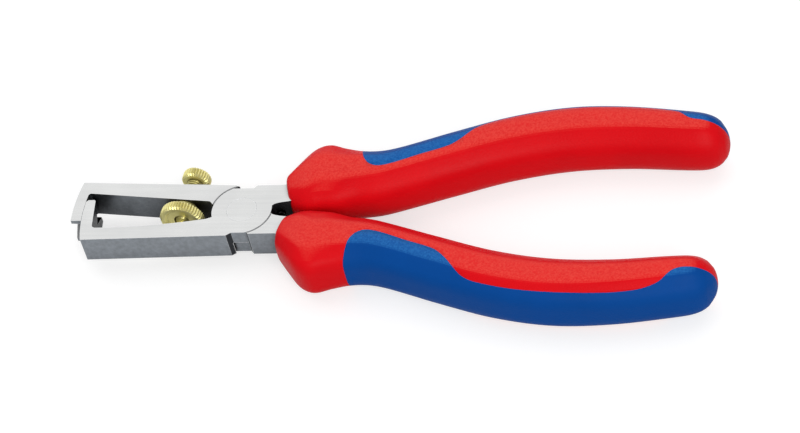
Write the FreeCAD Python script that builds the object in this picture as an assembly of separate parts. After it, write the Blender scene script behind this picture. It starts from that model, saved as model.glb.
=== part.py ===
import FreeCAD, Part
import math
import os

V = FreeCAD.Vector

# Wire stripping pliers, all sizes in millimetres.
# The pliers are drawn round their pivot: X runs towards the handle ends,
# Y towards the upper handle and Z up out of the engraved face.
# At the end every piece is shifted so that the origin is the middle of the underside.

# Head
head_thickness = 7.6
joint_radius = 7.5
joint_edge_gap = 0.08
lap_gap = 0.04
notch_flat = 6.8
shoulder_flat = 7.3
shoulder_start = -1.5
shoulder_width = 1.2
stop_step_x = 2.0
stop_step_run = 0.75
tang_outer_y = 7.7

# Blades at the tip, on circles about the pivot
blade_radius = 40.4
blade_gap = 0.08
upper_blade_thickness = 2.65
upper_blade_reach = -2.7
notch_mouth = 5.0
notch_depth = 4.4
notch_bevel = 0.4
notch_overcut = 0.3

# Upper jaw
upper_jaw_height = 7.75
upper_jaw_flare_deg = 2.6
window_slope_deg = 5.9
window_height = 2.75
window_corner_radius = 0.7
window_heel_radius = 0.8
window_heel = (1.0, 0.2)
window_heel_low = 1.9

# Lower jaw
lower_jaw_height = 8.1
lower_jaw_flare_deg = 1.0
hook_top = 3.9
hook_thickness = 2.5
hook_root_thickness = 3.2
hook_floor = -5.05
hook_root_radius = 1.0
hook_tip_radius = 0.5
hook_chamfer = 0.5
jaw_floor_mid = (-20.0, -4.3)
jaw_floor_heel = (-joint_radius - 1.0, -2.8)

# Tangs inside the grips: distances along the pliers are measured from the joint's edge
tang_end = 96.5
tang_end_width = 4.6
tang_end_thickness = 5.0
tang_taper_start = 22.5
tang_taper_steps = 7
tang_heel = [(0.0, 1.2), (0.4, 1.6), (1.1, 1.9)]
tang_axis = [(2.1, 4.95, 2.75), (5.5, 5.9, 2.8), (10.5, 8.6, 3.0), (16.5, 10.7, 3.0)]

# Pivot rivet, ground flush with both faces
rivet_radius = 2.5
rivet_head_radius = 3.7
rivet_head_depth = 1.2
rivet_clearance = 0.04

# Opening spring in blind pockets of the two tangs, its axis just outside the joint
spring_offset = 1.3
spring_wire = 0.4
spring_mean_radius = 0.8
spring_turns = 4
spring_sides = 4
spring_side_gap = 0.25
pocket_floor = 4.1

# Adjusting screw, measured along its axis from the inner face of the upper jaw
lock_nut_gap = 2.475
screw_radius = 1.95
screw_clearance = 0.05
screw_tip_reach = 5.6
screw_tip_radius = 1.2
screw_tip_chamfer = 0.4
screw_tip_length = 1.0
screw_head_height = 8.35
screw_head_thickness = 2.7
screw_head_radius = 3.6
screw_head_teeth = 30
spigot_radius = 1.3
spigot_chamfer = 0.3
lock_nut_drop = 1.7
lock_nut_thickness = 2.6
lock_nut_radius = 5.6
lock_nut_teeth = 46
lock_nut_collar_radius = 3.4
lock_nut_dish_radius = 4.3
lock_nut_dish_depth = 0.6
knurl_depth = 0.3
knurl_bevel = 0.45

# Grips: at each distance from the joint's edge the middle of the section, and the half
# widths of its flat face and of its side
grip_stations = [
    (2.2, 6.3, 2.2, 4.1),
    (5.3, 7.8, 3.5, 6.7),
    (8.5, 9.6, 3.9, 8.6),
    (12.0, 10.5, 3.6, 9.2),
    (16.0, 10.2, 3.3, 8.5),
    (20.5, 10.4, 3.1, 7.4),
    (25.5, 10.8, 2.8, 7.1),
    (30.5, 12.2, 2.7, 7.0),
    (42.5, 16.5, 2.7, 7.1),
    (56.5, 21.1, 2.7, 7.1),
    (70.5, 23.7, 2.7, 7.0),
    (84.5, 23.9, 2.5, 6.7),
    (99.5, 22.5, 2.2, 6.2),
    (104.5, 22.0, 2.0, 5.6),
    (107.0, 21.8, 1.7, 4.4),
    (108.3, 21.6, 1.2, 2.8),
    (108.9, 21.5, 0.8, 2.1),
]
grip_half_depth = 7.5
grip_crown = 0.15
grip_front_fall = 2.0
grip_front_run = 9.0
# How far the front is set back for each millimetre towards the other handle
grip_front_slant = 0.25
grip_end_fall = 3.8
grip_end_run = 6.5
# Where the side of a section starts below its middle plane: at a plain section, and
# how much more for each millimetre that the side is wider
grip_plain_side = 6.8
grip_side_level = 3.6
grip_level_rise = 0.4
# The shoulder on the outer side: its share of the way from the flat face to the side
shoulder_across = 0.41
shoulder_down = 0.28
arc_tolerance = 0.2
inlay_depth = 1.9
# Edge of the soft inlay: distance along the handle and offset from its middle,
# positive towards the other handle
inlay_edge = [
    (20.7, -6.0),
    (21.7, -2.6),
    (23.4, -0.3),
    (26.5, 0.8),
    (35.5, 0.5),
    (42.5, 0.3),
    (45.3, -1.0),
    (49.9, -4.5),
    (55.5, -5.1),
    (72.5, -4.9),
    (90.5, -4.8),
    (96.7, -3.6),
    (100.1, -1.0),
    (104.0, -0.6),
]

# Longer than the pliers, for shapes that only cut or trim
reach = 200.0
corner_match = 0.02

half_head = head_thickness / 2
recess_radius = joint_radius + joint_edge_gap
upper_blade_inner = blade_radius + blade_gap
upper_blade_outer = upper_blade_inner + upper_blade_thickness
window_slope = math.tan(math.radians(window_slope_deg))
screw_lean = math.radians(window_slope_deg)
screw_x = -(joint_radius + lock_nut_gap + lock_nut_radius)
spring_x = joint_radius + spring_offset


def on_circle(radius, y):
    return V(-math.sqrt(radius ** 2 - y ** 2), y, 0)


def line_meets_circle(height, slope, radius):
    # where the line y = height + slope * distance meets a circle about the pivot
    a = 1 + slope ** 2
    b = 2 * height * slope
    c = height ** 2 - radius ** 2
    distance = (-b + math.sqrt(b * b - 4 * a * c)) / (2 * a)
    return V(-distance, height + slope * distance, 0)


def arc(start, middle, end):
    return Part.Arc(start, middle, end).toShape()


def circle_arc(radius, start, end):
    middle = (start + end) * 0.5
    middle.normalize()
    return arc(start, middle * radius, end)


def tangent_arcs(points):
    # a smooth run of arcs that touch each other, close to a curve through the points
    curve = Part.BSplineCurve()
    curve.interpolate(points)
    return [piece.toShape() for piece in curve.toBiArcs(arc_tolerance)]


def lines(points):
    return [Part.makeLine(a, b) for a, b in zip(points[:-1], points[1:])]


def plate(edges, low, high):
    face = Part.Face(Part.Wire(edges))
    face.translate(V(0, 0, low))
    return face.extrude(V(0, 0, high - low))


def polygon_plate(points, low, high):
    return plate(lines(points + points[:1]), low, high)


def upright_edges(solid, corners):
    # the edges along Z that stand on the given corners
    found = []
    for edge in solid.Edges:
        ends = [vertex.Point for vertex in edge.Vertexes]
        if len(ends) < 2 or abs(ends[0].z - ends[1].z) < half_head:
            continue
        for corner in corners:
            if all(math.hypot(p.x - corner.x, p.y - corner.y) < corner_match for p in ends):
                found.append(edge)
    return found


def notch_cutter(mouth_y, inwards, edge_radius, back_radius):
    # a V with its cutting edge at edge_radius and a bevel that opens to back_radius
    wires = []
    past = 2 * notch_overcut
    for radius, extra in ((edge_radius, 0.0), (back_radius, notch_bevel)):
        half = notch_mouth / 2 + extra / 2
        deep = notch_depth + extra
        x = -radius
        corners = [
            V(x, mouth_y - inwards * past, -half * (1 + past / deep)),
            V(x, mouth_y - inwards * past, half * (1 + past / deep)),
            V(x, mouth_y + inwards * deep, 0),
        ]
        wires.append(Part.makePolygon(corners + corners[:1]))
    return Part.makeLoft(wires, True, True)


def joint_disc():
    # the half-thickness disc of one half, with its flats for the stop and the shoulder
    disc = Part.makeCylinder(joint_radius, half_head - lap_gap / 2, V(0, 0, lap_gap / 2))
    size = 4 * joint_radius
    above = Part.makeBox(size, size, size, V(-size / 2, notch_flat, -size / 2))
    below = Part.makeBox(size, size, size, V(-size / 2, -shoulder_flat - size, -size / 2))
    return disc.cut(above).cut(below)


def finish_half(jaw, tang):
    # joins jaw and tang to the disc and sinks the recess for the other half's disc
    recess = Part.makeCylinder(recess_radius, head_thickness, V(0, 0, lap_gap / 2 - head_thickness))
    half = jaw.fuse(tang).cut(recess).fuse(joint_disc())
    return half.cut(rivet_shape(rivet_clearance, half_head)).removeSplitter()


def rivet_shape(extra=0.0, proud=0.0):
    # the rivet itself, or a wider shape that stands proud of both faces to cut its bore
    head = rivet_head_radius + extra
    upper = [V(rivet_radius + extra, 0, half_head - rivet_head_depth), V(head, 0, half_head)]
    if proud:
        upper.append(V(head, 0, half_head + proud))
    upper.append(V(0, 0, half_head + proud))
    lower = [V(p.x, 0, -p.z) for p in upper[::-1]]
    wire = Part.makePolygon(lower + upper + lower[:1])
    return Part.Face(wire).revolve(V(0, 0, 0), V(0, 0, 1), 360)


def handle_axis():
    curve = Part.BSplineCurve()
    curve.interpolate([V(joint_radius + x, y, 0) for x, y, _, _ in grip_stations])
    return curve


AXIS = handle_axis()


def axis_frame(distance):
    # point and inward normal of the handle axis at a distance from the joint's edge
    low, high = AXIS.FirstParameter, AXIS.LastParameter
    halvings = 60
    for _ in range(halvings):
        middle = (low + high) / 2
        if AXIS.value(middle).x < joint_radius + distance:
            low = middle
        else:
            high = middle
    tangent = AXIS.tangent(low)[0]
    return AXIS.value(low), V(tangent.y, -tangent.x, 0)


def upper_tang():
    # the tang of the upper handle: plain end at the joint, hidden taper in the grip
    stations = [(V(joint_radius + x, y, 0), w) for x, y, w in tang_axis]
    full_width = tang_axis[-1][2]
    for k in range(tang_taper_steps + 1):
        share = k / tang_taper_steps
        distance = tang_taper_start + (tang_end - tang_taper_start) * share
        width = full_width + (tang_end_width / 2 - full_width) * share
        stations.append((axis_frame(distance)[0], width))
    centre = Part.BSplineCurve()
    centre.interpolate([p for p, _ in stations])
    outer, inner = [], []
    for point, width in stations:
        direction = centre.tangent(centre.parameter(point))[0]
        normal = V(direction.y, -direction.x, 0)
        outer.append(point - normal * width)
        inner.append(point + normal * width)
    outer[0] = V(outer[0].x, tang_outer_y, 0)
    inner[0] = V(inner[0].x, tang_outer_y - 2 * tang_axis[0][2], 0)
    step_top = V(stop_step_x + stop_step_run, tang_outer_y, 0)
    core = V(stop_step_x, 0, 0)
    heel = [V(joint_radius + x, y, 0) for x, y in tang_heel]
    edges = lines([core, V(stop_step_x, notch_flat, 0), step_top, outer[0]])
    edges += tangent_arcs(outer)
    edges.append(Part.makeLine(outer[-1], inner[-1]))
    edges += tangent_arcs(inner[::-1])
    edges += lines([inner[0]] + heel[::-1] + [core])
    tang = plate(edges, -half_head, half_head)
    return tang.common(tang_side_taper())


def tang_side_taper():
    # side view of the tang: full thickness up to the taper, thinner at the end
    start = joint_radius + tang_taper_start
    end = joint_radius + tang_end + tang_end_width
    side = [
        V(0, 0, -half_head),
        V(start, 0, -half_head),
        V(end, 0, -tang_end_thickness / 2),
        V(end, 0, tang_end_thickness / 2),
        V(start, 0, half_head),
        V(0, 0, half_head),
    ]
    return Part.Face(Part.makePolygon(side + side[:1])).extrude(V(0, reach, 0))


def spring_pocket():
    radius = spring_mean_radius + spring_wire / 2 + spring_side_gap
    return Part.makeCylinder(radius, pocket_floor, V(spring_x, 0, 0), V(0, 1, 0))


def flip(shape):
    # the far half is the near half turned over about the pliers' length
    return shape.rotated(V(0, 0, 0), V(1, 0, 0), 180)


def shoulder_points(height, flare):
    # the sloped shoulder where a jaw ends beside the joint, drawn for the lower side
    x = shoulder_start - shoulder_width
    return [V(shoulder_start, -shoulder_flat, 0), V(x, -(height - x * flare), 0)]


def lower_jaw():
    flare = math.tan(math.radians(lower_jaw_flare_deg))
    shoulder = shoulder_points(lower_jaw_height, flare)
    corner = line_meets_circle(lower_jaw_height, flare, blade_radius)
    tip = V(corner.x, -corner.y, 0)
    hook_start = on_circle(blade_radius, hook_top - hook_chamfer)
    hook_left = on_circle(blade_radius - hook_chamfer, hook_top)
    hook_right = V(-blade_radius + hook_thickness, hook_top, 0)
    root = V(-blade_radius + hook_root_thickness, hook_floor, 0)
    heel = V(jaw_floor_heel[0], jaw_floor_heel[1], 0)
    core = V(shoulder_start, 0, 0)
    edges = lines([core] + shoulder + [tip])
    edges.append(circle_arc(blade_radius, tip, hook_start))
    edges += lines([hook_start, hook_left, hook_right, root])
    edges.append(arc(root, V(jaw_floor_mid[0], jaw_floor_mid[1], 0), heel))
    edges += lines([heel, core])
    jaw = plate(edges, -half_head, half_head)
    jaw = jaw.makeFillet(hook_root_radius, upright_edges(jaw, [root]))
    jaw = jaw.makeFillet(hook_tip_radius, upright_edges(jaw, [hook_right]))
    back = blade_radius - hook_root_thickness
    return jaw.cut(notch_cutter(hook_top, -1, blade_radius + notch_overcut, back))


def upper_jaw():
    flare = math.tan(math.radians(upper_jaw_flare_deg))
    low_shoulder = shoulder_points(upper_jaw_height, flare)
    shoulder = [V(p.x, -p.y, 0) for p in low_shoulder]
    tip = line_meets_circle(upper_jaw_height, flare, upper_blade_outer)
    outer_end = on_circle(upper_blade_outer, upper_blade_reach)
    inner_end = on_circle(upper_blade_inner, upper_blade_reach)
    corner = line_meets_circle(window_top(0).y, window_slope, upper_blade_inner)
    heel = window_top(-joint_radius - window_heel[0])
    heel_low = V(-joint_radius - window_heel[1], window_heel_low, 0)
    core = V(shoulder_start, 0, 0)
    edges = lines([core] + shoulder + [tip])
    edges.append(circle_arc(upper_blade_outer, tip, outer_end))
    edges.append(Part.makeLine(outer_end, inner_end))
    edges.append(circle_arc(upper_blade_inner, inner_end, corner))
    edges += lines([corner, heel, heel_low, core])
    jaw = plate(edges, -half_head, half_head)
    jaw = jaw.makeFillet(window_corner_radius, upright_edges(jaw, [corner]))
    jaw = jaw.makeFillet(window_heel_radius, upright_edges(jaw, [heel]))
    edge_radius = upper_blade_inner - notch_overcut
    jaw = jaw.cut(notch_cutter(upper_blade_reach, 1, edge_radius, upper_blade_outer))
    return jaw.cut(on_screw_axis(screw_bore(screw_radius, -screw_radius, screw_head_height)))


def screw_bore(radius, low, high):
    return Part.makeCylinder(radius + screw_clearance, high - low, V(0, 0, low))


def window_top(x):
    # a point on the upper jaw's inner face, which slopes up from the joint's edge
    return V(x, window_height - (x + joint_radius) * window_slope, 0)


def on_screw_axis(shape):
    # moves a shape drawn along Z onto the screw's axis, square to the jaw's inner face
    direction = V(math.sin(screw_lean), math.cos(screw_lean), 0)
    turn = FreeCAD.Rotation(V(0, 0, 1), direction)
    shape.Placement = FreeCAD.Placement(window_top(screw_x), turn)
    return shape


def knurled_disc(radius, thickness, teeth, low):
    # straight knurl: a toothed outline that is drawn in at both rims
    high = low + thickness
    levels = [
        (low, knurl_bevel),
        (low + knurl_bevel, 0.0),
        (high - knurl_bevel, 0.0),
        (high, knurl_bevel),
    ]
    outlines = []
    for z, draw_in in levels:
        points = []
        for k in range(2 * teeth):
            r = radius - draw_in - (knurl_depth if k % 2 else 0.0)
            angle = math.pi * k / teeth
            points.append(V(r * math.cos(angle), r * math.sin(angle), z))
        outlines.append(Part.makePolygon(points + points[:1]))
    return Part.makeLoft(outlines, True, True)


def screw_head():
    head = knurled_disc(screw_head_radius, screw_head_thickness, screw_head_teeth, screw_head_height)
    hole = screw_bore(spigot_radius, screw_head_height, screw_head_height + screw_head_thickness)
    return on_screw_axis(head.cut(hole))


def screw_rod():
    top = screw_head_height + screw_head_thickness
    tip_end = -screw_tip_reach
    tip_top = tip_end + screw_tip_length
    profile = [
        V(0, 0, tip_end),
        V(screw_tip_radius - screw_tip_chamfer, 0, tip_end),
        V(screw_tip_radius, 0, tip_end + screw_tip_chamfer),
        V(screw_tip_radius, 0, tip_top),
        V(screw_radius, 0, tip_top + screw_radius - screw_tip_radius),
        V(screw_radius, 0, screw_head_height),
        V(spigot_radius, 0, screw_head_height),
        V(spigot_radius, 0, top - spigot_chamfer),
        V(spigot_radius - spigot_chamfer, 0, top),
        V(0, 0, top),
    ]
    face = Part.Face(Part.makePolygon(profile + profile[:1]))
    return on_screw_axis(face.revolve(V(0, 0, 0), V(0, 0, 1), 360))


def lock_nut():
    low = -lock_nut_drop - lock_nut_thickness
    nut = knurled_disc(lock_nut_radius, lock_nut_thickness, lock_nut_teeth, low)
    collar = Part.makeCylinder(lock_nut_collar_radius, lock_nut_drop, V(0, 0, -lock_nut_drop))
    inner_dish = lock_nut_dish_radius - lock_nut_dish_depth
    dish = Part.makeCone(lock_nut_dish_radius, inner_dish, lock_nut_dish_depth, V(0, 0, low))
    hole = screw_bore(screw_radius, low, 0)
    return on_screw_axis(nut.fuse(collar).cut(dish).cut(hole).removeSplitter())


def opening_spring():
    # the coil runs from pocket floor to pocket floor
    reach = pocket_floor - spring_wire / 2
    pitch = 2 * reach / spring_turns
    helix = Part.makeHelix(pitch, 2 * reach, spring_mean_radius)
    corners = []
    for k in range(spring_sides + 1):
        angle = 2 * math.pi * k / spring_sides
        x = spring_mean_radius + spring_wire / 2 * math.cos(angle)
        corners.append(V(x, 0, spring_wire / 2 * math.sin(angle)))
    coil = Part.Wire(helix.Edges).makePipeShell([Part.makePolygon(corners)], True, True)
    coil.rotate(V(0, 0, 0), V(1, 0, 0), -90)
    coil.translate(V(spring_x, -reach, 0))
    return coil


def rail(points):
    curve = Part.BSplineCurve()
    curve.interpolate(list(points))
    return curve.toShape()


def grip_front(distance):
    # 1 at the front end of the grip, falling to 0 where its full section starts
    return max(0.0, 1 - (distance - grip_stations[0][0]) / grip_front_run)


def grip_depth(distance):
    # half depth of the grip, which falls off towards both of its ends
    front = grip_front(distance)
    end = max(0.0, 1 - (grip_stations[-1][0] - distance) / grip_end_run)
    fall = grip_front_fall * front ** 2 + grip_end_fall * end ** 2
    return grip_half_depth + grip_crown - fall


def grip_corners(station, inset):
    # ten corners of a section, from the outer edge of the flat face round to the inner one
    distance, middle, face, side = station
    flat = face - inset / 2
    wide = side - inset
    depth = grip_depth(distance) - inset
    level = grip_side_level + grip_level_rise * (side - grip_plain_side) - inset / 2
    shoulder = flat + shoulder_across * (wide - flat)
    shoulder_level = depth - shoulder_down * (depth - level)
    half = [(flat, depth), (shoulder, shoulder_level), (wide, level)]
    section = half + [(y, -z) for y, z in half[::-1]]
    section += [(-y, -z) for y, z in half[::2]] + [(-y, z) for y, z in half[::-2]]
    slant = grip_front_slant * grip_front(distance)
    start = joint_radius + distance
    return [V(start + slant * (side - y), middle + y, z) for y, z in section]


def grip_body(inset=0.0):
    # smooth rails along the handle with straight strips between them
    sections = [grip_corners(station, inset) for station in grip_stations]
    rails = [rail(points) for points in zip(*sections)]
    faces = [Part.makeRuledSurface(a, b) for a, b in zip(rails, rails[1:] + rails[:1])]
    for section in (sections[0], sections[-1]):
        faces.append(Part.Face(Part.makePolygon(section + section[:1])))
    shell = Part.makeShell(faces)
    shell.sewShape(0.001)
    solid = Part.Solid(shell)
    if solid.Volume < 0:
        solid.reverse()
    return solid


def upper_inlay_region():
    # plan area on the outer side of the inlay's edge
    points = []
    for distance, offset in inlay_edge:
        point, normal = axis_frame(distance)
        points.append(point + normal * offset)
    start, end = points[0], points[-1]
    corners = [end, V(reach, end.y, 0), V(reach, reach, 0), V(start.x, reach, 0), start]
    return plate(tangent_arcs(points) + lines(corners), -reach, reach)


def upper_grip_pieces(tang):
    # the crowned body is planed off to the flat lands that the pliers lie on
    slab = Part.makeBox(reach, reach, 2 * grip_half_depth, V(0, 0, -grip_half_depth))
    body = grip_body().common(slab)
    inlay = body.cut(grip_body(inlay_depth)).common(upper_inlay_region())
    grip = body.cut(inlay).cut(tang)
    return grip, inlay


def mirrored(shape):
    return shape.mirror(V(0, 0, 0), V(0, 1, 0))


def build():
    tang = upper_tang()
    pocket = spring_pocket()
    near_half = finish_half(lower_jaw(), tang).cut(pocket)
    far_half = flip(finish_half(flip(upper_jaw()), tang).cut(pocket))
    grip, inlay = upper_grip_pieces(tang)
    return {
        "lower_jaw_half": near_half,
        "upper_jaw_half": far_half,
        "pivot_rivet": rivet_shape(0.0),
        "adjusting_screw_rod": screw_rod(),
        "adjusting_screw_head": screw_head(),
        "lock_nut": lock_nut(),
        "opening_spring": opening_spring(),
        "upper_grip": grip,
        "upper_grip_inlay": inlay,
        "lower_grip": mirrored(grip),
        "lower_grip_inlay": mirrored(inlay),
    }


def main():
    os.makedirs("parts", exist_ok=True)
    pieces = build()
    box = FreeCAD.BoundBox()
    for shape in pieces.values():
        box.add(shape.optimalBoundingBox(False, False))
    shift = V(-box.Center.x, -box.Center.y, -box.ZMin)
    for name, shape in pieces.items():
        moved = shape.translated(shift)
        moved.exportStep("parts/" + name + ".step")


main()
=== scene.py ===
import math
from itertools import combinations

import bmesh
import bpy
from mathutils import Matrix, Vector


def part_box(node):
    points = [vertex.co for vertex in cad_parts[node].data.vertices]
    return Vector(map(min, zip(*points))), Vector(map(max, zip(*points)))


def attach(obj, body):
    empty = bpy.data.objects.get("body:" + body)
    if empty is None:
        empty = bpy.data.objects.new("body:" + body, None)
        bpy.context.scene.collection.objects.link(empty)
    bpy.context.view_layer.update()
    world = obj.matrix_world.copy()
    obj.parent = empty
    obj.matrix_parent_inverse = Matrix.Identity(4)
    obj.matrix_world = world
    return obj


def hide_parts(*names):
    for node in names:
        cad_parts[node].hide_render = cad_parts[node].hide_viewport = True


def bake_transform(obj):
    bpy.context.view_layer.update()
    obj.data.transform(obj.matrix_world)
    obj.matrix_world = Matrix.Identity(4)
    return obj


MM = 0.001
UP = Vector((0.0, 0.0, 1.0))

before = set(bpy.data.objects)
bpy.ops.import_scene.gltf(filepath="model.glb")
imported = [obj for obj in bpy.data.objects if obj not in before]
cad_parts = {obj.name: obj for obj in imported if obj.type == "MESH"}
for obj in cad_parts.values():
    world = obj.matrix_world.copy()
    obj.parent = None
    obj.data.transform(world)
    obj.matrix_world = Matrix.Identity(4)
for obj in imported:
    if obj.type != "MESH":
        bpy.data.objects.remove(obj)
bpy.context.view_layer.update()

rivet_low, rivet_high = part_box("pivot_rivet")
PIVOT = Vector([(a + b) / 2 for a, b in zip(rivet_low, rivet_high)])


def at(x, y, z):
    """A point given in millimetres from the pivot, in the frame of the part."""
    return PIVOT + Vector((x, y, z)) * MM


# Node helpers

FLOAT = "NodeSocketFloat"
# Sockets of a Mix node that are for colours
COLOUR_A, COLOUR_B, COLOUR_RESULT = 6, 7, 2
# The range that noise values mostly keep to, and a narrower one for more contrast
NOISE_LOW, NOISE_HIGH = 0.3, 0.7
CONTRAST_LOW, CONTRAST_HIGH = 0.35, 0.65


def node(tree, kind, **values):
    made = tree.nodes.new(kind)
    for name, value in values.items():
        setattr(made, name, value)
    return made


def feed(tree, socket, value):
    """Links a socket to another one, or sets its value."""
    if isinstance(value, bpy.types.NodeSocket):
        tree.links.new(value, socket)
    else:
        socket.default_value = value


def math_node(tree, operation, *values, clamp=False):
    made = node(tree, "ShaderNodeMath", operation=operation, use_clamp=clamp)
    for socket, value in zip(made.inputs, values):
        feed(tree, socket, value)
    return made.outputs[0]


def opaque(colour):
    return (*colour, 1.0)


def darkened(colour, share):
    return tuple(share * channel for channel in colour)


def mix_colour(tree, factor, a, b):
    made = node(tree, "ShaderNodeMix", data_type="RGBA")
    feed(tree, made.inputs["Factor"], factor)
    feed(tree, made.inputs[COLOUR_A], a)
    feed(tree, made.inputs[COLOUR_B], b)
    return made.outputs[COLOUR_RESULT]


def cover(tree, under, mask, colour, share):
    """Lays a colour over what is under it where the mask is 1, as strongly as share says."""
    return mix_colour(tree, math_node(tree, "MULTIPLY", mask, share), under, opaque(colour))


def spread(tree, value, low, high, out_low=0.0, out_high=1.0):
    """Takes the range from low to high to the range from out_low to out_high."""
    made = node(tree, "ShaderNodeMapRange", clamp=True)
    for socket, number in zip(made.inputs, (value, low, high, out_low, out_high)):
        feed(tree, socket, number)
    return made.outputs[0]


def vary(tree, noise_value, out_low=0.0, out_high=1.0):
    """Takes a noise value to the range from out_low to out_high."""
    return spread(tree, noise_value, NOISE_LOW, NOISE_HIGH, out_low, out_high)


def object_point(tree):
    return node(tree, "ShaderNodeTexCoord").outputs["Object"]


def apart(tree, vector):
    """The X, Y and Z of a vector."""
    parts = node(tree, "ShaderNodeSeparateXYZ")
    tree.links.new(vector, parts.inputs[0])
    return parts.outputs


def noise(tree, vector, scale, detail, roughness=0.5):
    made = node(tree, "ShaderNodeTexNoise")
    tree.links.new(vector, made.inputs["Vector"])
    feed(tree, made.inputs["Scale"], scale)
    feed(tree, made.inputs["Detail"], detail)
    feed(tree, made.inputs["Roughness"], roughness)
    return made.outputs["Fac"]


def new_group(name, inputs, outputs):
    """A node group with number sockets: inputs are names and values, outputs are names."""
    tree = bpy.data.node_groups.new(name, "ShaderNodeTree")
    for label, value in inputs:
        socket = tree.interface.new_socket(label, in_out="INPUT", socket_type=FLOAT)
        socket.default_value = value
    for label in outputs:
        tree.interface.new_socket(label, in_out="OUTPUT", socket_type=FLOAT)
    return tree, tree.nodes.new("NodeGroupInput"), tree.nodes.new("NodeGroupOutput")


def place_group(tree, group, **values):
    """The outputs of a group whose inputs have these values."""
    made = node(tree, "ShaderNodeGroup", node_tree=group)
    for name, value in values.items():
        feed(tree, made.inputs[name], value)
    return made.outputs


# Effects that several materials share


def edge_wear_group():
    """Mask that is 1 on outer edges, broken up by noise."""
    tree, inside, outside = new_group(
        "edge_wear",
        [("Radius", 0.2 * MM), ("Breakup", 0.5), ("Scale", 400.0)],
        ["Mask"],
    )
    bevel = node(tree, "ShaderNodeBevel", samples=6)
    tree.links.new(inside.outputs["Radius"], bevel.inputs["Radius"])
    geometry = node(tree, "ShaderNodeNewGeometry")
    agreement = node(tree, "ShaderNodeVectorMath", operation="DOT_PRODUCT")
    tree.links.new(bevel.outputs["Normal"], agreement.inputs[0])
    tree.links.new(geometry.outputs["Normal"], agreement.inputs[1])
    flat, turned = 0.995, 0.90
    turn = spread(tree, agreement.outputs["Value"], flat, turned)
    grain = noise(tree, object_point(tree), scale=inside.outputs["Scale"], detail=3.0)
    broken = math_node(tree, "MULTIPLY", grain, inside.outputs["Breakup"])
    kept = math_node(tree, "SUBTRACT", 1.0, broken)
    mask = math_node(tree, "MULTIPLY", turn, kept, clamp=True)
    tree.links.new(mask, outside.inputs["Mask"])
    return tree


def painted_shade_group():
    """Mask that is 1 deep inside gaps and corners, where light does not reach; it drives painted
    shade in the colour.
    """
    tree, inside, outside = new_group(
        "painted_gap_shade",
        [("Reach", 3.0 * MM), ("Open", 0.6), ("Shut", 0.12)],
        ["Mask"],
    )
    around = node(tree, "ShaderNodeAmbientOcclusion", samples=8)
    tree.links.new(inside.outputs["Reach"], around.inputs["Distance"])
    mask = spread(tree, around.outputs["AO"], inside.outputs["Open"], inside.outputs["Shut"])
    tree.links.new(mask, outside.inputs["Mask"])
    return tree


def joint_seam_group():
    """Mask of the fine dark line round the joint, on one flat face of a jaw half."""
    tree, inside, outside = new_group(
        "joint_seam",
        [("Radius", 7.7 * MM), ("Width", 0.22 * MM), ("Face", 1.0)],
        ["Mask"],
    )
    offset = node(tree, "ShaderNodeVectorMath", operation="SUBTRACT")
    tree.links.new(object_point(tree), offset.inputs[0])
    offset.inputs[1].default_value = PIVOT
    place = apart(tree, offset.outputs[0])
    squares = math_node(tree, "ADD", math_node(tree, "POWER", place["X"], 2.0),
                        math_node(tree, "POWER", place["Y"], 2.0))
    away = math_node(tree, "SUBTRACT", math_node(tree, "SQRT", squares), inside.outputs["Radius"])
    near = math_node(tree, "DIVIDE", math_node(tree, "ABSOLUTE", away), inside.outputs["Width"])
    full_line, no_line = 0.7, 1.0
    line = spread(tree, near, full_line, no_line, 1.0, 0.0)
    height = math_node(tree, "MULTIPLY", place["Z"], inside.outputs["Face"])
    below_face, at_face = 3.0 * MM, 3.6 * MM
    mask = math_node(tree, "MULTIPLY", line, spread(tree, height, below_face, at_face))
    tree.links.new(mask, outside.inputs["Mask"])
    return tree


def grinding_group():
    """Fine lines left by a grinding belt, along the length of the tool."""
    tree, inside, outside = new_group(
        "grinding_lines",
        [("Along", 60.0), ("Across", 2500.0)],
        ["Lines", "Height"],
    )
    place = apart(tree, object_point(tree))
    joined = node(tree, "ShaderNodeCombineXYZ")
    for index, label in enumerate(("Along", "Across", "Across")):
        stretched = math_node(tree, "MULTIPLY", place[index], inside.outputs[label])
        tree.links.new(stretched, joined.inputs[index])
    fine = noise(tree, joined.outputs[0], scale=1.0, detail=3.0, roughness=0.6)
    coarse = noise(tree, joined.outputs[0], scale=0.23, detail=2.0)
    fine_share, coarse_share = 0.6, 0.4
    lines = math_node(tree, "ADD", math_node(tree, "MULTIPLY", fine, fine_share),
                      math_node(tree, "MULTIPLY", coarse, coarse_share))
    tree.links.new(lines, outside.inputs["Lines"])
    tree.links.new(vary(tree, lines), outside.inputs["Height"])
    return tree


def stipple_group():
    """The fine spark-eroded grain of moulded plastic."""
    tree, inside, outside = new_group(
        "moulded_stipple",
        [("Scale", 2600.0), ("Patches", 60.0)],
        ["Height", "Patch"],
    )
    point = object_point(tree)
    grain = noise(tree, point, scale=inside.outputs["Scale"], detail=2.0, roughness=0.6)
    patch = noise(tree, point, scale=inside.outputs["Patches"], detail=3.0)
    height = spread(tree, grain, CONTRAST_LOW, CONTRAST_HIGH)
    tree.links.new(height, outside.inputs["Height"])
    tree.links.new(patch, outside.inputs["Patch"])
    return tree


EDGE_WEAR = edge_wear_group()
# Painted shade: darkens the colour in gaps and corners as if shadowed
SHADE_IN_GAPS = painted_shade_group()
JOINT_SEAM = joint_seam_group()
GRINDING = grinding_group()
STIPPLE = stipple_group()


# Materials

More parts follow.
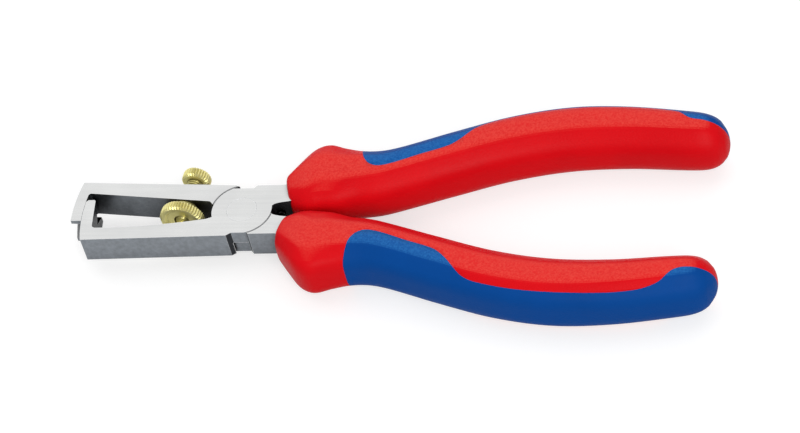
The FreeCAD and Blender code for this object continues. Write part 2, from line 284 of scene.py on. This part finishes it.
STEEL_FACE = (0.69, 0.695, 0.69)
STEEL_SIDE = (0.24, 0.265, 0.292)
# Dark spring steel, darkened further as painted shade so the coil sinks into the shadow behind the
# joint
SPRING_FACE_WITH_SHADE = (0.06, 0.06, 0.065)
SPRING_SIDE_WITH_SHADE = (0.05, 0.05, 0.055)
STEEL_PATCH = (0.32, 0.32, 0.33)
GRINDING_SHADE = (0.34, 0.35, 0.36)
# Near-black for sloping faces that look towards the handle ends
HANDLE_FACING_BLACK = (0.030, 0.034, 0.038)
SEAM_BLACK = (0.05, 0.05, 0.055)
# Pale worn edges, partly real wear and partly a painted highlight along the edges
STEEL_WORN_HIGHLIGHT = (0.80, 0.81, 0.82)
# Near-black painted shade for gaps and corners of the steel
STEEL_PAINTED_GAP = (0.006, 0.006, 0.007)

BRASS_DULL = (0.86, 0.77, 0.26)
BRASS_CLEAN = (0.92, 0.85, 0.37)
# Pale worn edges and ridge crests, partly real wear and partly a painted highlight
BRASS_WORN_HIGHLIGHT = (1.0, 0.97, 0.74)
# Painted shade for the knurl's valleys and other hollows of the brass
BRASS_PAINTED_GROOVE = (0.24, 0.19, 0.04)

STIPPLE_SCALE = 2300.0


def new_material(name):
    material = bpy.data.materials.new(name)
    material.use_nodes = True
    tree = material.node_tree
    return material, tree, tree.nodes["Principled BSDF"]


def bump(tree, shader, height, distance, strength):
    made = node(tree, "ShaderNodeBump")
    feed(tree, made.inputs["Height"], height)
    made.inputs["Distance"].default_value = distance
    made.inputs["Strength"].default_value = strength
    tree.links.new(made.outputs["Normal"], shader.inputs["Normal"])


def facing_up(tree, low, high):
    """1 on the two flat faces of the tool, 0 on its sides."""
    geometry = node(tree, "ShaderNodeNewGeometry")
    direction = apart(tree, geometry.outputs["True Normal"])
    return spread(tree, math_node(tree, "ABSOLUTE", direction["Z"]), low, high)


def facing_handles(tree):
    """1 on faces that look towards the handle ends."""
    coordinates = node(tree, "ShaderNodeTexCoord")
    direction = apart(tree, coordinates.outputs["Normal"])
    sideways, towards = 0.3, 0.55
    return spread(tree, direction["X"], sideways, towards)


def steel_colour(tree, face, side, flat, lines, patches):
    """Ground faces with belt lines, mottled satin sides, and near-black on sloping faces that look
    towards the handle ends.
    """
    mottle = noise(tree, object_point(tree), scale=900.0, detail=3.0, roughness=0.6)
    mottled = vary(tree, mottle, out_high=0.75)
    sides = mix_colour(tree, mottled, opaque(side), opaque(darkened(side, 0.62)))
    base = mix_colour(tree, flat, sides, opaque(face))
    toned = mix_colour(tree, vary(tree, patches, out_high=0.10), base, opaque(STEEL_PATCH))
    line_shade = spread(tree, lines, CONTRAST_LOW, CONTRAST_HIGH, out_high=0.12)
    shaded = mix_colour(tree, line_shade, toned, opaque(GRINDING_SHADE))
    sloping = math_node(tree, "SUBTRACT", 1.0, flat)
    handle_facing_dark = math_node(tree, "MULTIPLY", facing_handles(tree), sloping)
    # Sloping faces that look towards the handle ends go near-black
    return mix_colour(tree, handle_facing_dark, shaded, opaque(HANDLE_FACING_BLACK))


def steel_material(name, face, side, edge_radius=0.25 * MM, seam_face=0.0):
    material, tree, shader = new_material(name)
    grinding = place_group(tree, GRINDING, Along=60.0, Across=2600.0)
    wear = place_group(tree, EDGE_WEAR, Radius=edge_radius, Breakup=0.35, Scale=500.0)
    occlusion_shade = place_group(tree, SHADE_IN_GAPS, Reach=12.0 * MM, Open=0.82, Shut=0.2)
    seam = place_group(tree, JOINT_SEAM, Face=seam_face)
    flat = facing_up(tree, low=0.75, high=0.95)
    patches = noise(tree, object_point(tree), scale=90.0, detail=3.0)
    steel = steel_colour(tree, face, side, flat, grinding["Lines"], patches)
    lined = cover(tree, steel, seam["Mask"], SEAM_BLACK, share=0.85)
    # Edges lightened: partly real wear, partly a painted highlight
    worn = cover(tree, lined, wear["Mask"], STEEL_WORN_HIGHLIGHT, share=0.8)
    # Painted shade: gaps and corners of the steel go near-black
    dark = mix_colour(tree, occlusion_shade["Mask"], worn, opaque(STEEL_PAINTED_GAP))
    tree.links.new(dark, shader.inputs["Base Color"])
    rough_side, rough_face = 0.42, 0.27
    rough = spread(tree, flat, 0.0, 1.0, rough_side, rough_face)
    patched = math_node(tree, "ADD", rough, vary(tree, patches, -0.05, 0.06))
    brushed = math_node(tree, "ADD", patched, vary(tree, grinding["Lines"], -0.05, 0.05))
    tree.links.new(brushed, shader.inputs["Roughness"])
    shader.inputs["Metallic"].default_value = 1.0
    bump(tree, shader, grinding["Height"], distance=0.004 * MM, strength=0.4)
    return material


def brass_material(name):
    material, tree, shader = new_material(name)
    wear = place_group(tree, EDGE_WEAR, Radius=0.12 * MM, Breakup=0.3, Scale=900.0)
    occlusion_shade = place_group(tree, SHADE_IN_GAPS, Reach=0.7 * MM, Open=0.93, Shut=0.55)
    patches = noise(tree, object_point(tree), scale=260.0, detail=3.0)
    fine = noise(tree, object_point(tree), scale=4200.0, detail=2.0)
    base = mix_colour(tree, vary(tree, patches), opaque(BRASS_DULL), opaque(BRASS_CLEAN))
    # Edges and ridge crests lightened: partly real wear, partly a painted highlight
    worn = cover(tree, base, wear["Mask"], BRASS_WORN_HIGHLIGHT, share=0.7)
    # Painted shade: the knurl's valleys and hollows darken
    dark = cover(tree, worn, occlusion_shade["Mask"], BRASS_PAINTED_GROOVE, share=0.8)
    tree.links.new(dark, shader.inputs["Base Color"])
    rough = math_node(tree, "ADD", vary(tree, patches, 0.32, 0.44), vary(tree, fine, -0.04, 0.04))
    tree.links.new(rough, shader.inputs["Roughness"])
    shader.inputs["Metallic"].default_value = 0.6
    bump(tree, shader, fine, distance=0.006 * MM, strength=0.5)
    return material


def plastic_material(name, colour, painted_sheen, worn_colour, rough_low, rough_high):
    """Moulded plastic whose flat faces have a paler stippled painted sheen, a painted highlight for
    the light they catch.
    """
    material, tree, shader = new_material(name)
    grain = place_group(tree, STIPPLE, Scale=STIPPLE_SCALE, Patches=70.0)
    wear = place_group(tree, EDGE_WEAR, Radius=0.3 * MM, Breakup=0.5, Scale=700.0)
    occlusion_shade = place_group(tree, SHADE_IN_GAPS, Reach=0.8 * MM, Open=0.45)
    patched = vary(tree, grain["Patch"])
    base = mix_colour(tree, patched, opaque(darkened(colour, 0.9)), opaque(colour))
    speck = spread(tree, grain["Height"], 0.0, 1.0, out_low=0.35)
    # Painted highlight: the flat faces get a paler stippled sheen
    top = math_node(tree, "MULTIPLY", facing_up(tree, low=0.885, high=0.97), speck)
    sheened_top = mix_colour(tree, top, base, opaque(painted_sheen))
    worn = cover(tree, sheened_top, wear["Mask"], worn_colour, share=0.3)
    # Painted shade: gaps and corners darken to a third of the colour
    dark = cover(tree, worn, occlusion_shade["Mask"], darkened(colour, 0.35), share=0.6)
    tree.links.new(dark, shader.inputs["Base Color"])
    rough = math_node(tree, "ADD", vary(tree, grain["Patch"], rough_low, rough_high),
                      spread(tree, grain["Height"], 0.0, 1.0, -0.03, 0.03))
    tree.links.new(rough, shader.inputs["Roughness"])
    shader.inputs["Specular IOR Level"].default_value = 0.07
    bump(tree, shader, grain["Height"], distance=0.03 * MM, strength=0.7)
    return material


UPPER_STEEL = steel_material("upper_jaw_steel", STEEL_FACE, STEEL_SIDE, seam_face=1.0)
LOWER_STEEL = steel_material("lower_jaw_steel", STEEL_FACE, STEEL_SIDE, seam_face=-1.0)
RIVET_STEEL = steel_material("rivet_steel", STEEL_FACE, STEEL_SIDE)
SPRING_STEEL = steel_material("spring_steel", SPRING_FACE_WITH_SHADE, SPRING_SIDE_WITH_SHADE, edge_radius=0.05 * MM)
BRASS = brass_material("screw_brass")
GRIP_RED = plastic_material(
    "grip_red",
    colour=(0.78, 0.004, 0.009),
    painted_sheen=(0.84, 0.055, 0.042),
    worn_colour=(0.86, 0.06, 0.06),
    rough_low=0.38,
    rough_high=0.48,
)
INLAY_BLUE = plastic_material(
    "inlay_blue",
    colour=(0.001, 0.068, 0.32),
    painted_sheen=(0.018, 0.15, 0.46),
    worn_colour=(0.06, 0.15, 0.40),
    rough_low=0.46,
    rough_high=0.58,
)

FINISHES = {
    "upper_jaw_half": UPPER_STEEL,
    "lower_jaw_half": LOWER_STEEL,
    "pivot_rivet": RIVET_STEEL,
    "adjusting_screw_head": BRASS,
    "lock_nut": BRASS,
}
for name, finish in FINISHES.items():
    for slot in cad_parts[name].material_slots:
        slot.material = finish


# Skins made of rings of points


def skin_mesh(rings):
    """A closed skin over rings of points, each with the same number of them."""
    skin = bmesh.new()
    rows = [[skin.verts.new(p) for p in ring] for ring in rings]
    count = len(rows[0])
    for a, b in zip(rows[:-1], rows[1:]):
        for k in range(count):
            skin.faces.new((a[k], a[(k + 1) % count], b[(k + 1) % count], b[k]))
    skin.faces.new(rows[0][::-1])
    skin.faces.new(rows[-1])
    return skin


def smooth_piece(name, skin, material):
    mesh = bpy.data.meshes.new(name)
    skin.to_mesh(mesh)
    skin.free()
    for polygon in mesh.polygons:
        polygon.use_smooth = True
    mesh.materials.append(material)
    piece = bpy.data.objects.new(name, mesh)
    bpy.context.collection.objects.link(piece)
    return piece


# Grips

# Sizes of the grips, the rod and the spring are in millimetres, and the pivot is the origin
JOINT_RADIUS = 7.5
# Distance from the joint's edge, middle, half width of the flat face, half width of the side
GRIP_STATIONS = [
    (2.2, 6.3, 2.2, 4.1),
    (5.3, 7.8, 3.5, 6.7),
    (8.5, 9.6, 3.9, 8.6),
    (12.0, 10.5, 3.6, 9.2),
    (16.0, 10.2, 3.3, 8.5),
    (20.5, 10.4, 3.1, 7.4),
    (25.5, 10.8, 2.8, 7.1),
    (30.5, 12.2, 2.7, 7.0),
    (42.5, 16.5, 2.7, 7.1),
    (56.5, 21.1, 2.7, 7.1),
    (70.5, 23.7, 2.7, 7.0),
    (84.5, 23.9, 2.5, 6.7),
    (99.5, 22.5, 2.2, 6.2),
    (104.5, 22.0, 2.0, 5.6),
    (107.0, 21.8, 1.7, 4.4),
    (108.3, 21.6, 1.2, 2.8),
    (108.9, 21.5, 0.8, 2.1),
]
GRIP_START = GRIP_STATIONS[0][0]
GRIP_END = GRIP_STATIONS[-1][0]
GRIP_HALF_DEPTH = 7.5
FLAT_LEAST = 0.3

# The side wall's height grows with the side's width
SIDE_LEVEL = 3.6
SIDE_LEVEL_WIDTH = 6.8
SIDE_LEVEL_GROWTH = 0.4
SIDE_BELOW_FLAT = 0.6
# The shoulder's share of the way from the flat face to the side, across and down
SHOULDER_ACROSS = 0.41
SHOULDER_DOWN = 0.28
# Rounding a corner takes some width off, which this adds again
CORNER_SWELL = 0.35
CORNER_RADII = [1.6, 2.0, 2.6, 2.6, 2.0, 1.6, 1.5, 2.8, 2.8, 1.5]
CORNER_STEPS = 6
CORNER_REACH = 0.48

# Over this run the front leans and thins down
FRONT_RUN = 9.0
FRONT_SLANT = 0.25
FRONT_THINNING = 2.0
# The edge of the front face is rounded, with a ring of points at each of these turns
FRONT_ROUNDING = 0.5
FRONT_SHRINK = 0.8
FRONT_TURNS = (0.0, 0.35, 0.7, 1.05, 1.4)

RING_STEP = 0.7
# The rings stand closer together where the end rounds off
END_RING_STEP = 0.3
END_RINGS_RUN = 4.0
END_RUN = 7.0
END_THINNING = 0.93
# The end closes with a cap that goes on from the slope of the last ring
CAP_BACK = 0.4
CAP_START = 0.9
CAP_LENGTH = 0.85
CAP_TURNS = (1.0, 1.1, 1.2, 1.3, 1.4, 1.5)

# Edge of the inlay: distance from the joint's edge, offset from the middle towards the other grip
INLAY_EDGE = [
    (19.1, -14.0),
    (20.7, -6.0),
    (21.7, -2.6),
    (23.4, -0.3),
    (26.5, 0.8),
    (35.5, 0.5),
    (42.5, 0.3),
    (45.3, -1.0),
    (49.9, -4.5),
    (55.5, -5.1),
    (72.5, -4.9),
    (90.5, -4.8),
    (96.7, -3.6),
    (100.1, -1.0),
    (104.0, -0.6),
    (112.5, -0.6),
]
# Side value ahead of the inlay's first edge point, and the least one that is not on the edge
AHEAD_OF_INLAY = -20.0
ON_EDGE = 0.02
# How far the edge between the two plastics turns in, first as a small rounding, then as a wall
RIM_DEPTHS = (0.06, 0.5)


def through(table, x):
    """The table's values at x, on a smooth curve through its rows."""
    last = len(table) - 1
    k = 0
    while k < last - 1 and table[k + 1][0] < x:
        k += 1
    x0, x1 = table[k][0], table[k + 1][0]
    before, after = table[max(k - 1, 0)], table[min(k + 2, last)]
    t = min(max((x - x0) / (x1 - x0), 0.0), 1.0)
    values = []
    for column in range(1, len(table[0])):
        a, b = table[k][column], table[k + 1][column]
        slope_a = (b - before[column]) / (x1 - before[0]) * (x1 - x0)
        slope_b = (after[column] - a) / (after[0] - x0) * (x1 - x0)
        values.append(
            a * (2 * t ** 3 - 3 * t ** 2 + 1)
            + slope_a * (t ** 3 - 2 * t ** 2 + t)
            + b * (3 * t ** 2 - 2 * t ** 3)
            + slope_b * (t ** 3 - t ** 2)
        )
    return values


def grip_front(distance):
    """1 at the front end of the grip, 0 where its full section starts."""
    return max(0.0, 1 - (distance - GRIP_START) / FRONT_RUN)


def grip_depth(distance):
    """Half the grip's thickness, which thins out towards both ends."""
    end = max(0.0, 1 - (GRIP_END - distance) / END_RUN)
    rounded = GRIP_HALF_DEPTH * math.sqrt(1 - (END_THINNING * end) ** 2)
    return rounded - FRONT_THINNING * grip_front(distance) ** 2


def rounded_ring(corners):
    """Points round a closed outline with its corners rounded, the same number at each corner."""
    ring = []
    count = len(corners)
    for k, corner in enumerate(corners):
        into = corners[k - 1] - corner
        out = corners[(k + 1) % count] - corner
        start = corner + into.normalized() * min(CORNER_RADII[k], CORNER_REACH * into.length)
        end = corner + out.normalized() * min(CORNER_RADII[k], CORNER_REACH * out.length)
        for step in range(CORNER_STEPS):
            t = step / (CORNER_STEPS - 1)
            ring.append(start * (1 - t) ** 2 + corner * 2 * t * (1 - t) + end * t ** 2)
    return ring


def grip_section(distance, shrink=0.0):
    """The outline of the upper grip at one distance, as points in millimetres."""
    middle, flat, side = through(GRIP_STATIONS, distance)
    depth = grip_depth(distance) - shrink
    side = side - shrink
    flat = max(flat - shrink, FLAT_LEAST)
    level = min(SIDE_LEVEL + SIDE_LEVEL_GROWTH * (side - SIDE_LEVEL_WIDTH), depth - SIDE_BELOW_FLAT)
    shoulder = (flat + SHOULDER_ACROSS * (side - flat), depth - SHOULDER_DOWN * (depth - level))
    wide = side + CORNER_SWELL
    high = level + CORNER_SWELL
    outer = [(flat, depth), shoulder, (wide, high)]
    corners = outer + [(y, -z) for y, z in outer[::-1]]
    corners += [(-flat, -depth), (-wide, -high), (-wide, high), (-flat, depth)]
    slant = FRONT_SLANT * grip_front(distance)
    start = JOINT_RADIUS + distance
    ring = rounded_ring([Vector(c) for c in corners])
    return [(start + slant * (side - p.x), middle + p.x, p.y) for p in ring]


def grip_rings():
    """Rings of points from the front face of the grip to its rounded end."""
    rings = []
    for turn in FRONT_TURNS:
        shrink = FRONT_SHRINK * (1 - math.sin(turn))
        rings.append(grip_section(GRIP_START + FRONT_ROUNDING * (1 - math.cos(turn)), shrink))
    distance = GRIP_START + FRONT_ROUNDING
    last_distance = GRIP_END - CAP_BACK
    while distance < last_distance:
        distance += RING_STEP if distance < GRIP_END - END_RINGS_RUN else END_RING_STEP
        distance = min(distance, last_distance)
        rings.append(grip_section(distance))
    middle = through(GRIP_STATIONS, last_distance)[0]
    last = rings[-1]
    for turn in CAP_TURNS:
        keep = math.cos(turn) / math.cos(CAP_START)
        rise = CAP_LENGTH * (math.sin(turn) - math.sin(CAP_START)) / (1 - math.sin(CAP_START))
        rings.append([(x + rise, middle + (y - middle) * keep, z * keep) for x, y, z in last])
    return rings


def grip_middle(x):
    distance = min(max(x - JOINT_RADIUS, GRIP_START), GRIP_END)
    return through(GRIP_STATIONS, distance)[0]


def inlay_side(x, y):
    """Positive on the inlay's side of its edge, in millimetres."""
    distance = x - JOINT_RADIUS
    if distance < INLAY_EDGE[0][0]:
        return AHEAD_OF_INLAY
    return y - grip_middle(x) + through(INLAY_EDGE, distance)[0]


def cut_along_edge(skin):
    """Splits the skin's faces along the inlay's edge and returns the side of each vertex."""
    side = {}
    for v in skin.verts:
        value = inlay_side(v.co.x, v.co.y)
        side[v] = 0.0 if abs(value) < ON_EDGE else value
    crossing = [e for e in skin.edges if side[e.verts[0]] * side[e.verts[1]] < 0]
    for edge in crossing:
        a, b = edge.verts
        share = side[a] / (side[a] - side[b])
        _, fresh = bmesh.utils.edge_split(edge, a, share)
        side[fresh] = 0.0
    for face in list(skin.faces):
        on_edge = [v for v in face.verts if side[v] == 0.0]
        for a, b in combinations(on_edge, 2):
            together = a in face.verts and b in face.verts
            if together and skin.edges.get((a, b)) is None:
                bmesh.utils.face_split(face, a, b)
    return side


def turn_in_rim(skin):
    """Grows the skin's open edge inwards, towards the middle line of the grip."""
    rim = [e for e in skin.edges if e.is_boundary]
    for depth in RIM_DEPTHS:
        grown = bmesh.ops.extrude_edge_only(skin, edges=rim)["geom"]
        for v in grown:
            if isinstance(v, bmesh.types.BMVert):
                middle_line = Vector((v.co.x, grip_middle(v.co.x), 0.0))
                v.co += (middle_line - v.co).normalized() * depth
        rim = [e for e in grown if isinstance(e, bmesh.types.BMEdge) and e.is_boundary]


def grip_part(name, body, cad_node, inlay, mirrored):
    """One part of a grip: the hard shell or its soft inlay, with its edge turned in."""
    skin = skin_mesh(grip_rings())
    side = cut_along_edge(skin)
    wanted = 1 if inlay else -1
    unwanted = [f for f in skin.faces if sum(side[v] for v in f.verts) * wanted <= 0]
    bmesh.ops.delete(skin, geom=unwanted, context="FACES")
    bmesh.ops.recalc_face_normals(skin, faces=skin.faces[:])
    turn_in_rim(skin)
    for v in skin.verts:
        if mirrored:
            v.co.y = -v.co.y
        v.co = at(*v.co)
    if mirrored:
        bmesh.ops.reverse_faces(skin, faces=skin.faces[:])
    material, slot = (INLAY_BLUE, "inlay_blue") if inlay else (GRIP_RED, "grip_red")
    piece = smooth_piece(name, skin, material)
    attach(piece, body)
    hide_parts(cad_node)


grip_part("upper_grip_shell", "lower_jaw_half", "upper_grip", inlay=False, mirrored=False)
grip_part("upper_grip_soft_inlay", "lower_jaw_half", "upper_grip_inlay", inlay=True, mirrored=False)
grip_part("lower_grip_shell", "upper_jaw_half", "lower_grip", inlay=False, mirrored=True)
grip_part("lower_grip_soft_inlay", "upper_jaw_half", "lower_grip_inlay", inlay=True, mirrored=True)


# Threaded rod of the adjusting screw

THREAD_PITCH = 0.7
THREAD_DEPTH = 0.36
CREST_FLAT = 0.12
CREST_CLEARANCE = 0.02
RUNOUT = 0.7
RUNOUT_DEPTH = 0.5
ROD_RADIUS = 1.95
ROD_TIP = -5.6
ROD_TOP = 11.05
TIP_LENGTH = 1.75
TIP_RADIUS = 1.2
TIP_CHAMFER = 0.4
TIP_SLOPE = 1.2
SPIGOT_START = 8.35
SPIGOT_RADIUS = 1.3
SPIGOT_CHAMFER = 0.3
ROD_ROWS = 220
ROD_SIDES = 40

# The screw stands square to the sloped inner face of the upper jaw
WINDOW_LEAN = math.radians(5.9)
WINDOW_HEEL = 2.75
SCREW_X = -15.575
SCREW_BASE = Vector((SCREW_X, WINDOW_HEEL - (JOINT_RADIUS + SCREW_X) * math.tan(WINDOW_LEAN), 0.0))
SCREW_AXIS = Vector((math.sin(WINDOW_LEAN), math.cos(WINDOW_LEAN), 0.0))


def thread_radius(height, angle):
    """Radius of the threaded rod at a height along its axis and an angle round it."""
    if height < ROD_TIP + TIP_LENGTH:
        return TIP_RADIUS - TIP_SLOPE * max(0.0, ROD_TIP + TIP_CHAMFER - height)
    if height > SPIGOT_START:
        return SPIGOT_RADIUS - max(0.0, height - ROD_TOP + SPIGOT_CHAMFER)
    phase = (height / THREAD_PITCH - angle / (2 * math.pi)) % 1.0
    wave = abs(phase - 0.5) * 2
    crest = min(max((wave - CREST_FLAT) / (1 - 2 * CREST_FLAT), 0.0), 1.0)
    full = min(1.0, (height - ROD_TIP - TIP_LENGTH) / RUNOUT)
    groove = THREAD_DEPTH * (1 - crest) * full
    return ROD_RADIUS - CREST_CLEARANCE - groove - RUNOUT_DEPTH * (1 - full)


def threaded_rod():
    side = SCREW_AXIS.cross(UP)
    rings = []
    for row in range(ROD_ROWS + 1):
        height = ROD_TIP + (ROD_TOP - ROD_TIP) * row / ROD_ROWS
        ring = []
        for k in range(ROD_SIDES):
            angle = 2 * math.pi * k / ROD_SIDES
            outwards = side * math.cos(angle) + UP * math.sin(angle)
            point = SCREW_BASE + SCREW_AXIS * height + outwards * thread_radius(height, angle)
            ring.append(at(*point))
        rings.append(ring)
    skin = skin_mesh(rings)
    bmesh.ops.recalc_face_normals(skin, faces=skin.faces[:])
    rod = smooth_piece("adjusting_screw_thread", skin, BRASS)
    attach(rod, "screw_rod")
    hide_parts("adjusting_screw_rod")


threaded_rod()


# Opening spring

SPRING_WIRE_RADIUS = 0.2
SPRING_TURNS = 4
COIL_STEPS = 24 * SPRING_TURNS
WIRE_SIDES = 10
spring_low, spring_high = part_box("opening_spring")


def opening_spring():
    """The coil behind the joint, built in one fixed shape; the real spring shortens and bends as
    the handles close.
    """
    low = (Vector(spring_low) - PIVOT) / MM
    high = (Vector(spring_high) - PIVOT) / MM
    middle_x = (low.x + high.x) / 2
    mean_radius = (high.z - low.z) / 2 - SPRING_WIRE_RADIUS
    first = low.y + SPRING_WIRE_RADIUS
    length = high.y - low.y - 2 * SPRING_WIRE_RADIUS
    along = Vector((0.0, 1.0, 0.0))
    rings = []
    for step in range(COIL_STEPS + 1):
        angle = 2 * math.pi * SPRING_TURNS * step / COIL_STEPS
        out = Vector((math.cos(angle), 0.0, -math.sin(angle)))
        centre = Vector((middle_x, first + length * step / COIL_STEPS, 0.0)) + out * mean_radius
        ring = []
        for k in range(WIRE_SIDES):
            turn = 2 * math.pi * k / WIRE_SIDES
            offset = out * math.cos(turn) + along * math.sin(turn)
            ring.append(at(*(centre + offset * SPRING_WIRE_RADIUS)))
        rings.append(ring)
    skin = skin_mesh(rings)
    bmesh.ops.recalc_face_normals(skin, faces=skin.faces[:])
    coil = smooth_piece("opening_spring_coil", skin, SPRING_STEEL)
    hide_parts("opening_spring")
    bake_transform(coil)


opening_spring()


# Studio

# Sizes of the floor and the lamps are in metres
FLOOR_HALF = 3.0
FLOOR_DROP = 0.0002
FLOOR_GREY = 0.5
FLOOR_GLOW = 0.62
WORLD_STRENGTH = 0.34
WHITE = (1.0, 1.0, 1.0, 1.0)

# In millimetres from the pivot
CAMERA_PLACE = (207.22, -480.60, 558.37)
CAMERA_RIGHT = Vector((0.97468, 0.13265, -0.18002))
CAMERA_DOWN = Vector((-0.01651, -0.76016, -0.64953))
CAMERA_FORWARD = Vector((-0.22301, 0.63605, -0.73872))
CAMERA_LENS = 141.4
CAMERA_SENSOR = 36.0


def floor_material():
    """A pale floor that shows as white round the tool and keeps its shadow."""
    material, tree, shader = new_material("studio_floor")
    shader.inputs["Base Color"].default_value = (FLOOR_GREY, FLOOR_GREY, FLOOR_GREY, 1.0)
    shader.inputs["Roughness"].default_value = 0.7
    shader.inputs["Specular IOR Level"].default_value = 0.1
    path = node(tree, "ShaderNodeLightPath").outputs
    seen = math_node(tree, "ADD", path["Is Camera Ray"], path["Is Glossy Ray"])
    seen = math_node(tree, "ADD", seen, path["Is Transmission Ray"], clamp=True)
    glow = node(tree, "ShaderNodeEmission")
    glow.inputs["Color"].default_value = WHITE
    tree.links.new(math_node(tree, "MULTIPLY", seen, FLOOR_GLOW), glow.inputs["Strength"])
    both = node(tree, "ShaderNodeAddShader")
    tree.links.new(shader.outputs["BSDF"], both.inputs[0])
    tree.links.new(glow.outputs["Emission"], both.inputs[1])
    tree.links.new(both.outputs["Shader"], tree.nodes["Material Output"].inputs["Surface"])
    return material


def studio_floor():
    mesh = bpy.data.meshes.new("floor")
    directions = [(-1, -1), (1, -1), (1, 1), (-1, 1)]
    corners = [(x * FLOOR_HALF, y * FLOOR_HALF, -FLOOR_DROP) for x, y in directions]
    mesh.from_pydata(corners, [], [(0, 1, 2, 3)])
    floor = bpy.data.objects.new("floor", mesh)
    bpy.context.collection.objects.link(floor)
    mesh.materials.append(floor_material())


def softbox(name, place, size, watts):
    """A square lamp that looks at the tool."""
    light = bpy.data.lights.new(name, "AREA")
    light.energy = watts
    light.size = size
    lamp = bpy.data.objects.new(name, light)
    lamp.location = place
    lamp.rotation_euler = (-Vector(place)).to_track_quat("-Z", "Y").to_euler()
    bpy.context.collection.objects.link(lamp)


def world_light():
    world = bpy.data.worlds.new("studio_world")
    bpy.context.scene.world = world
    world.use_nodes = True
    background = world.node_tree.nodes["Background"]
    background.inputs["Color"].default_value = WHITE
    background.inputs["Strength"].default_value = WORLD_STRENGTH


def camera():
    data = bpy.data.cameras.new("camera")
    data.sensor_width = CAMERA_SENSOR
    data.lens = CAMERA_LENS
    data.clip_start = 0.01
    data.clip_end = 20.0
    shot = bpy.data.objects.new("camera", data)
    turn = Matrix((CAMERA_RIGHT, -CAMERA_DOWN, -CAMERA_FORWARD)).transposed()
    shot.matrix_world = Matrix.Translation(at(*CAMERA_PLACE)) @ turn.to_4x4()
    bpy.context.collection.objects.link(shot)
    bpy.context.scene.camera = shot


studio_floor()
world_light()
softbox("rear_softbox", place=(-0.25, 0.75, 0.85), size=2.2, watts=12.1)
softbox("front_fill", place=(0.4, -0.9, 0.8), size=0.7, watts=9.0)
camera()
bpy.context.scene.view_settings.view_transform = "Standard"
